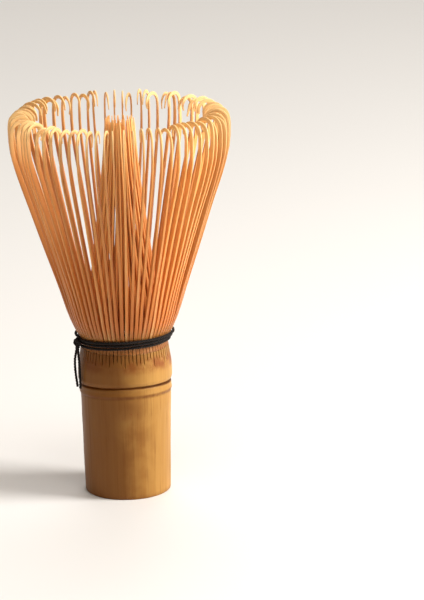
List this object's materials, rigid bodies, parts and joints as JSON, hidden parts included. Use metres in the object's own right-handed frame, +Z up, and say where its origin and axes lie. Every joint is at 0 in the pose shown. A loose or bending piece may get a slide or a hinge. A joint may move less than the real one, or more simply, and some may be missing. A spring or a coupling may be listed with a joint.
{
  "type": "bamboo tea whisk",
  "caption": "Bamboo tea whisk: a hollow culm handle split above its joint into a flared outer ring and a gathered inner ring of tines, bound with black thread.",
  "frame": {"origin": "middle of the foot, on the plane that the whisk stands on", "axes": "+Z up along the culm, from the foot to the tips of the tines; the thread's knot and tails are at the -X side, a little towards -Y"},
  "size_m": [0.0596, 0.0596, 0.1076],
  "materials": {
    "culm": "satin",
    "outer_tine": "satin",
    "inner_tine": "matte",
    "thread": "matte"
  },
  "bodies": {
    "handle": {"handle": "culm", "weaving_thread": "thread", "binding_thread": "thread", "thread_knot": "thread", "thread_tail_left": "thread", "thread_tail_right": "thread"},
    "outer_tines_01": {"outer_tines_01": "outer_tine"},
    "outer_tines_02": {"outer_tines_02": "outer_tine"},
    "outer_tines_03": {"outer_tines_03": "outer_tine"},
    "outer_tines_04": {"outer_tines_04": "outer_tine"},
    "outer_tines_05": {"outer_tines_05": "outer_tine"},
    "outer_tines_06": {"outer_tines_06": "outer_tine"},
    "outer_tines_07": {"outer_tines_07": "outer_tine"},
    "outer_tines_08": {"outer_tines_08": "outer_tine"},
    "outer_tines_09": {"outer_tines_09": "outer_tine"},
    "outer_tines_10": {"outer_tines_10": "outer_tine"},
    "outer_tines_11": {"outer_tines_11": "outer_tine"},
    "outer_tines_12": {"outer_tines_12": "outer_tine"},
    "outer_tines_13": {"outer_tines_13": "outer_tine"},
    "outer_tines_14": {"outer_tines_14": "outer_tine"},
    "outer_tines_15": {"outer_tines_15": "outer_tine"},
    "outer_tines_16": {"outer_tines_16": "outer_tine"},
    "outer_tines_17": {"outer_tines_17": "outer_tine"},
    "outer_tines_18": {"outer_tines_18": "outer_tine"},
    "inner_bundle_1": {"inner_tines_01": "inner_tine", "inner_tines_02": "inner_tine"},
    "inner_bundle_2": {"inner_tines_03": "inner_tine", "inner_tines_04": "inner_tine"},
    "inner_bundle_3": {"inner_tines_05": "inner_tine", "inner_tines_06": "inner_tine"},
    "inner_bundle_4": {"inner_tines_07": "inner_tine", "inner_tines_08": "inner_tine"},
    "inner_bundle_5": {"inner_tines_09": "inner_tine", "inner_tines_10": "inner_tine"},
    "inner_bundle_6": {"inner_tines_11": "inner_tine", "inner_tines_12": "inner_tine"},
    "inner_bundle_7": {"inner_tines_13": "inner_tine", "inner_tines_14": "inner_tine"},
    "inner_bundle_8": {"inner_tines_15": "inner_tine", "inner_tines_16": "inner_tine"},
    "inner_bundle_9": {"inner_tines_17": "inner_tine", "inner_tines_18": "inner_tine"}
  },
  "joints": [
    {"name": "outer_flex_01", "type": "hinge", "parent": "handle", "child": "outer_tines_01", "pos_m": [0.0125, 0, 0.0455], "axis": [0, 1, 0], "range_deg": [-3, 6], "stiffness_Nm_per_rad": 0.05},
    {"name": "outer_flex_02", "type": "hinge", "parent": "handle", "child": "outer_tines_02", "pos_m": [0.01175, 0.00428, 0.0455], "axis": [-0.342, 0.9397, 0], "range_deg": [-3, 6], "stiffness_Nm_per_rad": 0.05},
    {"name": "outer_flex_03", "type": "hinge", "parent": "handle", "child": "outer_tines_03", "pos_m": [0.00958, 0.00804, 0.0455], "axis": [-0.6428, 0.766, 0], "range_deg": [-3, 6], "stiffness_Nm_per_rad": 0.05},
    {"name": "outer_flex_04", "type": "hinge", "parent": "handle", "child": "outer_tines_04", "pos_m": [0.00625, 0.01082, 0.0455], "axis": [-0.866, 0.5, 0], "range_deg": [-3, 6], "stiffness_Nm_per_rad": 0.05},
    {"name": "outer_flex_05", "type": "hinge", "parent": "handle", "child": "outer_tines_05", "pos_m": [0.00217, 0.01231, 0.0455], "axis": [-0.9848, 0.1736, 0], "range_deg": [-3, 6], "stiffness_Nm_per_rad": 0.05},
    {"name": "outer_flex_06", "type": "hinge", "parent": "handle", "child": "outer_tines_06", "pos_m": [-0.00217, 0.01231, 0.0455], "axis": [-0.9848, -0.1736, 0], "range_deg": [-3, 6], "stiffness_Nm_per_rad": 0.05},
    {"name": "outer_flex_07", "type": "hinge", "parent": "handle", "child": "outer_tines_07", "pos_m": [-0.00625, 0.01082, 0.0455], "axis": [-0.866, -0.5, 0], "range_deg": [-3, 6], "stiffness_Nm_per_rad": 0.05},
    {"name": "outer_flex_08", "type": "hinge", "parent": "handle", "child": "outer_tines_08", "pos_m": [-0.00958, 0.00804, 0.0455], "axis": [-0.6428, -0.766, 0], "range_deg": [-3, 6], "stiffness_Nm_per_rad": 0.05},
    {"name": "outer_flex_09", "type": "hinge", "parent": "handle", "child": "outer_tines_09", "pos_m": [-0.01175, 0.00428, 0.0455], "axis": [-0.342, -0.9397, 0], "range_deg": [-3, 6], "stiffness_Nm_per_rad": 0.05},
    {"name": "outer_flex_10", "type": "hinge", "parent": "handle", "child": "outer_tines_10", "pos_m": [-0.0125, 0, 0.0455], "axis": [0, -1, 0], "range_deg": [-3, 6], "stiffness_Nm_per_rad": 0.05},
    {"name": "outer_flex_11", "type": "hinge", "parent": "handle", "child": "outer_tines_11", "pos_m": [-0.01175, -0.00428, 0.0455], "axis": [0.342, -0.9397, 0], "range_deg": [-3, 6], "stiffness_Nm_per_rad": 0.05},
    {"name": "outer_flex_12", "type": "hinge", "parent": "handle", "child": "outer_tines_12", "pos_m": [-0.00958, -0.00804, 0.0455], "axis": [0.6428, -0.766, 0], "range_deg": [-3, 6], "stiffness_Nm_per_rad": 0.05},
    {"name": "outer_flex_13", "type": "hinge", "parent": "handle", "child": "outer_tines_13", "pos_m": [-0.00625, -0.01082, 0.0455], "axis": [0.866, -0.5, 0], "range_deg": [-3, 6], "stiffness_Nm_per_rad": 0.05},
    {"name": "outer_flex_14", "type": "hinge", "parent": "handle", "child": "outer_tines_14", "pos_m": [-0.00217, -0.01231, 0.0455], "axis": [0.9848, -0.1736, 0], "range_deg": [-3, 6], "stiffness_Nm_per_rad": 0.05},
    {"name": "outer_flex_15", "type": "hinge", "parent": "handle", "child": "outer_tines_15", "pos_m": [0.00217, -0.01231, 0.0455], "axis": [0.9848, 0.1736, 0], "range_deg": [-3, 6], "stiffness_Nm_per_rad": 0.05},
    {"name": "outer_flex_16", "type": "hinge", "parent": "handle", "child": "outer_tines_16", "pos_m": [0.00625, -0.01082, 0.0455], "axis": [0.866, 0.5, 0], "range_deg": [-3, 6], "stiffness_Nm_per_rad": 0.05},
    {"name": "outer_flex_17", "type": "hinge", "parent": "handle", "child": "outer_tines_17", "pos_m": [0.00958, -0.00804, 0.0455], "axis": [0.6428, 0.766, 0], "range_deg": [-3, 6], "stiffness_Nm_per_rad": 0.05},
    {"name": "outer_flex_18", "type": "hinge", "parent": "handle", "child": "outer_tines_18", "pos_m": [0.01175, -0.00428, 0.0455], "axis": [0.342, 0.9397, 0], "range_deg": [-3, 6], "stiffness_Nm_per_rad": 0.05},
    {"name": "inner_flex_1", "type": "hinge", "parent": "handle", "child": "inner_bundle_1", "pos_m": [0.0095, 0.00168, 0.044], "axis": [-0.1736, 0.9848, 0], "range_deg": [0, 8], "stiffness_Nm_per_rad": 0.04},
    {"name": "inner_flex_2", "type": "hinge", "parent": "handle", "child": "inner_bundle_2", "pos_m": [0.0062, 0.00739, 0.044], "axis": [-0.766, 0.6428, 0], "range_deg": [0, 8], "stiffness_Nm_per_rad": 0.04},
    {"name": "inner_flex_3", "type": "hinge", "parent": "handle", "child": "inner_bundle_3", "pos_m": [0, 0.00965, 0.044], "axis": [-1, 0, 0], "range_deg": [0, 8], "stiffness_Nm_per_rad": 0.04},
    {"name": "inner_flex_4", "type": "hinge", "parent": "handle", "child": "inner_bundle_4", "pos_m": [-0.0062, 0.00739, 0.044], "axis": [-0.766, -0.6428, 0], "range_deg": [0, 8], "stiffness_Nm_per_rad": 0.04},
    {"name": "inner_flex_5", "type": "hinge", "parent": "handle", "child": "inner_bundle_5", "pos_m": [-0.0095, 0.00168, 0.044], "axis": [-0.1736, -0.9848, 0], "range_deg": [0, 8], "stiffness_Nm_per_rad": 0.04},
    {"name": "inner_flex_6", "type": "hinge", "parent": "handle", "child": "inner_bundle_6", "pos_m": [-0.00836, -0.00483, 0.044], "axis": [0.5, -0.866, 0], "range_deg": [0, 8], "stiffness_Nm_per_rad": 0.04},
    {"name": "inner_flex_7", "type": "hinge", "parent": "handle", "child": "inner_bundle_7", "pos_m": [-0.0033, -0.00907, 0.044], "axis": [0.9397, -0.342, 0], "range_deg": [0, 8], "stiffness_Nm_per_rad": 0.04},
    {"name": "inner_flex_8", "type": "hinge", "parent": "handle", "child": "inner_bundle_8", "pos_m": [0.0033, -0.00907, 0.044], "axis": [0.9397, 0.342, 0], "range_deg": [0, 8], "stiffness_Nm_per_rad": 0.04},
    {"name": "inner_flex_9", "type": "hinge", "parent": "handle", "child": "inner_bundle_9", "pos_m": [0.00836, -0.00483, 0.044], "axis": [0.5, 0.866, 0], "range_deg": [0, 8], "stiffness_Nm_per_rad": 0.04}
  ]
}
